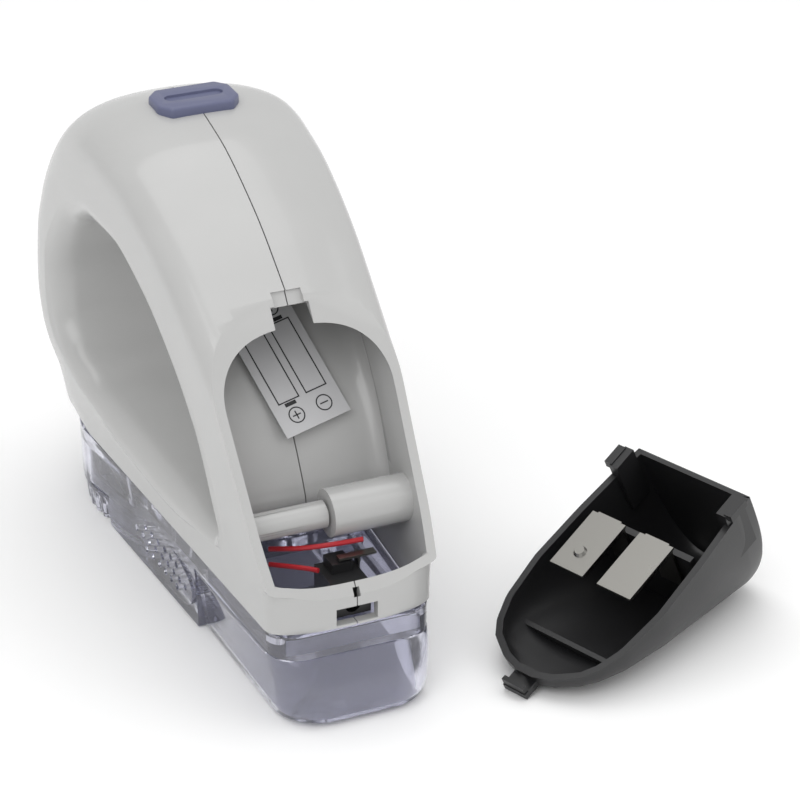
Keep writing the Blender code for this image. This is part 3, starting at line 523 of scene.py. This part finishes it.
def switch_cap():
    """Eight-sided cap with rounded edges and a long thumb groove."""
    outline = [(7.6, -6.6), (10.2, -3.4), (10.2, 3.4), (7.6, 6.6), (-7.6, 6.6), (-10.2, 3.4), (-10.2, -3.4),
               (-7.6, -6.6)]
    place = Matrix.Translation(Vector((0, SWITCH_Y, SWITCH_TOP - 1.6)) * MM)
    cap = softened(slab("switch_cap", outline, -1.6, 1.6, place), 0.8, 4, 20)
    a = np.linspace(-math.pi / 2, math.pi / 2, 20)
    pill = np.concatenate([np.stack([5.4 + 1.8 * np.cos(a), 1.8 * np.sin(a)], -1),
                           np.stack([-5.4 - 1.8 * np.cos(a), -1.8 * np.sin(a)], -1)])
    groove = slab("thumb_groove", pill, 0.9, 3.0, place)
    stem = block("switch_stem", (-3.0, SWITCH_Y - 2.5, 104.0), (3.0, SWITCH_Y + 2.5, SWITCH_TOP - 2.4))
    return softened(shaped(cap, [groove], [stem]), 0.12, 2, 50)


shown(switch_cap(), VIOLET, "switch", "violet_plastic", "slide_switch")


# ---------------------------------------------------------------- label

def label_print():
    """Two cell outlines with a nub each, and a plus and a minus in a ring, as thin raised strips."""
    across = Vector((1.0, 0.0, 0.0))
    down = Vector((0.0, -math.cos(LABEL_SLOPE), -math.sin(LABEL_SLOPE)))
    place = Matrix((across, down, across.cross(down))).transposed().to_4x4()
    place.translation = Vector(LABEL_MIDDLE) * MM
    place = place @ Matrix.Rotation(LABEL_SKEW, 4, "Z")
    parts = []

    def strip(x0, y0, x1, y1, wide=0.3):
        low = (min(x0, x1) - wide / 2, min(y0, y1) - wide / 2, -0.2)
        high = (max(x0, x1) + wide / 2, max(y0, y1) + wide / 2, -0.1)
        parts.append(block("print", low, high, place))

    for middle, end in ((-3.7, 1), (3.7, -1)):
        for x in (-2.7, 2.7):
            strip(middle + x, -9.0, middle + x, 9.0)
        for y in (-9.0, 9.0):
            strip(middle - 2.7, y, middle + 2.7, y)
        strip(middle - 1.0, end * 9.8, middle + 1.0, end * 9.8, 0.9)
        for y, plus in ((end * 12.8, True), (-end * 12.8, False)):
            spot = place @ Matrix.Translation(Vector((middle, y, 0)) * MM)
            parts.append(lathe("print", [(1.7, -0.2), (2.0, -0.2), (2.0, -0.1), (1.7, -0.1)], 40, spot))
            strip(middle - 0.9, y, middle + 0.9, y)
            if plus:
                strip(middle, y - 0.9, middle, y + 0.9)
    return joined("label_marks", parts)


def joined(name, parts):
    """Several meshes as one object."""
    bm = bmesh.new()
    for part in parts:
        bm.from_mesh(part.data)
    mesh = bpy.data.meshes.new(name)
    bm.to_mesh(mesh)
    bm.free()
    for part in parts:
        bpy.data.objects.remove(part)
    obj = bpy.data.objects.new(name, mesh)
    bpy.context.scene.collection.objects.link(obj)
    return obj


shown(label_print(), PRINT, "body", "label")


# ---------------------------------------------------------------- battery cover

def cover_matrix():
    place = Matrix.Rotation(COVER_TURN, 4, "Z") @ Matrix.Rotation(-COVER_TILT, 4, "Y")
    place.translation = Vector(COVER_NOSE) * MM
    return place


def cover_skin():
    """Half tube under the rim: v = w sgn(cos)|cos|^0.72, h = -d |sin|^0.72, with w and d following u."""
    u = np.unique(np.concatenate([COVER_LENGTH * (1 - np.cos(np.linspace(0, math.pi / 2, 40))),
                                  np.linspace(54.0, COVER_LENGTH, 26)]))[:, None]
    width = np.interp(u, [0.0, 1.5, 5.1, 9.0, 15.5, 28.0, 44.0, 59.0, COVER_LENGTH],
                      [2.5, 7.4, 13.0, 15.8, 18.2, 19.6, 19.0, 17.8, 16.8])
    turned_up = np.clip((u - (COVER_LENGTH - 7.0)) / 7.0, 0.0, 1.0)
    depth = (4.0 + u * math.tan(COVER_TILT)) * (0.86 + 0.14 * np.sqrt(1.0 - turned_up ** 2))
    a = np.linspace(0.0, math.pi, 65)
    v = width * np.sign(np.cos(a)) * np.abs(np.cos(a)) ** 0.72
    h = -depth * np.abs(np.sin(a)) ** 0.72
    grid = np.stack([np.broadcast_to(u, v.shape), v, h], axis=-1)
    n = len(a)
    faces = grid_faces(len(u), n, False).tolist()
    faces += [list(range(n))[::-1], list(range((len(u) - 1) * n, len(u) * n))]
    obj = outward(piece("cover_shell", grid, faces))
    low = min(obj.data.polygons, key=lambda f: f.center.z)
    if low.normal.z > 0:
        obj.data.flip_normals()
    thick = obj.modifiers.new("wall", "SOLIDIFY")
    thick.thickness = COVER_WALL * MM
    thick.offset = -1.0
    return settled(obj)


def cover_piece():
    obj = cover_skin()
    adds = [block("holder_wall", (44.0, -15.0, -17.0), (45.6, 15.0, -1.0)),
            block("holder_foot", (44.1, -9.6, -23.6), (45.5, 9.6, -16.8)),
            block("cross_rib", (14.0, -14.8, -7.7), (15.2, 14.8, -6.4)),
            block("cross_foot", (14.1, -9.6, -9.7), (15.1, 9.6, -7.5)),
            block("nose_tab", (-4.2, -3.4, -3.0), (2.6, 3.4, -1.4)),
            block("nose_lip", (-4.0, -3.2, -2.6), (-2.8, 3.2, 0.6))]
    for side in (-1, 1):
        low, high = sorted((side * 15.0, side * 17.6))
        adds.append(block("latch", (56.0, low, -12.0), (62.5, high, 3.6)))
        low, high = sorted((side * 17.0, side * 19.2))
        adds.append(block("latch_hook", (56.4, low, 1.9), (62.1, high, 3.9)))
    obj = shaped(obj, adds=adds, solver="FAST")
    obj.data.transform(cover_matrix())
    return obj


shown(cover_piece(), CHARCOAL, "cover", "charcoal", "battery_cover")

# ---------------------------------------------------------------- CAD nodes that keep their shape

FINISHES = {
    STEEL: "foil_disc motor_can motor_shaft blade_1 blade_2 blade_3 jack_pin boss_screw "
           "front_base_screw_left front_base_screw_right rear_base_screw_left rear_base_screw_right",
    NICKEL: "switch_leaf_1 switch_leaf_2 bay_contact_plate bay_contact_spring jack_leaf jack_terminal "
            "contact_leaf_1 contact_leaf_2",
    GREY: "foil_frame fan_impeller blade_carrier switch_housing switch_slider contact_board",
    BLACK: "motor_end_cap jack_body",
    COPPER: "rotor_core",
    BRASS: "motor_bush",
    PAPER: "battery_label",
    RED: "wire_side wire_jack_front wire_jack_rear",
}
for finish, names in FINISHES.items():
    for name in names.split():
        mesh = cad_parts[name].data
        mesh.materials.clear()
        mesh.materials.append(finish)


# ---------------------------------------------------------------- floor, light and camera

def floor():
    corners = [(-3000, -3000, 0), (3000, -3000, 0), (3000, 3000, 0), (-3000, 3000, 0)]
    obj = piece("floor", corners, [(0, 1, 2, 3)])
    obj.data.transform(Matrix.Translation((0, 0, -0.0001)))
    mat = bpy.data.materials.new("pale_floor")
    mat.use_nodes = True
    mat.node_tree.nodes["Principled BSDF"].inputs["Base Color"].default_value = (0.98, 0.98, 0.98, 1)
    mat.node_tree.nodes["Principled BSDF"].inputs["Roughness"].default_value = 0.6
    obj.data.materials.append(mat)


def lamp(name, place, size, power):
    light = bpy.data.lights.new(name, "AREA")
    light.size = size
    light.energy = power
    obj = bpy.data.objects.new(name, light)
    obj.location = place
    obj.rotation_euler = (Vector((0.02, 0.02, 0.05)) - Vector(place)).to_track_quat("-Z", "Y").to_euler()
    bpy.context.scene.collection.objects.link(obj)


def camera():
    """Behind, to the left and above, looking at the middle of the group, with a long lens."""
    azimuth, elevation, roll = math.radians(-23.88), math.radians(27.64), math.radians(0.21)
    right = Vector((math.cos(azimuth), math.sin(azimuth), 0.0))
    ahead = Vector((-math.sin(azimuth) * math.cos(elevation), math.cos(azimuth) * math.cos(elevation),
                    -math.sin(elevation)))
    up = right.cross(ahead)
    across = right * math.cos(roll) + up * math.sin(roll)
    up = up * math.cos(roll) - right * math.sin(roll)
    place = Matrix((across, up, -ahead)).transposed().to_4x4()
    middle = Vector((0.0, 20.0, 50.0)) - ahead * 703.57 + across * 33.40 + up * 0.09
    place.translation = middle * MM
    lens = bpy.data.cameras.new("camera")
    lens.lens = 135.0
    lens.sensor_width = 36.0
    lens.clip_start = 0.01
    obj = bpy.data.objects.new("camera", lens)
    obj.matrix_world = place
    bpy.context.scene.collection.objects.link(obj)
    bpy.context.scene.camera = obj


world = bpy.data.worlds.new("studio")
bpy.context.scene.world = world
world.use_nodes = True
world.node_tree.nodes["Background"].inputs["Color"].default_value = (1.0, 1.0, 1.0, 1.0)
world.node_tree.nodes["Background"].inputs["Strength"].default_value = 0.72
floor()
lamp("key", (-0.5, -0.5, 0.8), 0.7, 2.6)
lamp("fill", (0.7, -0.4, 0.6), 0.8, 1.2)
lamp("top", (0.0, 0.2, 1.1), 0.9, 3.4)
camera()
bpy.context.scene.view_settings.view_transform = "Standard"
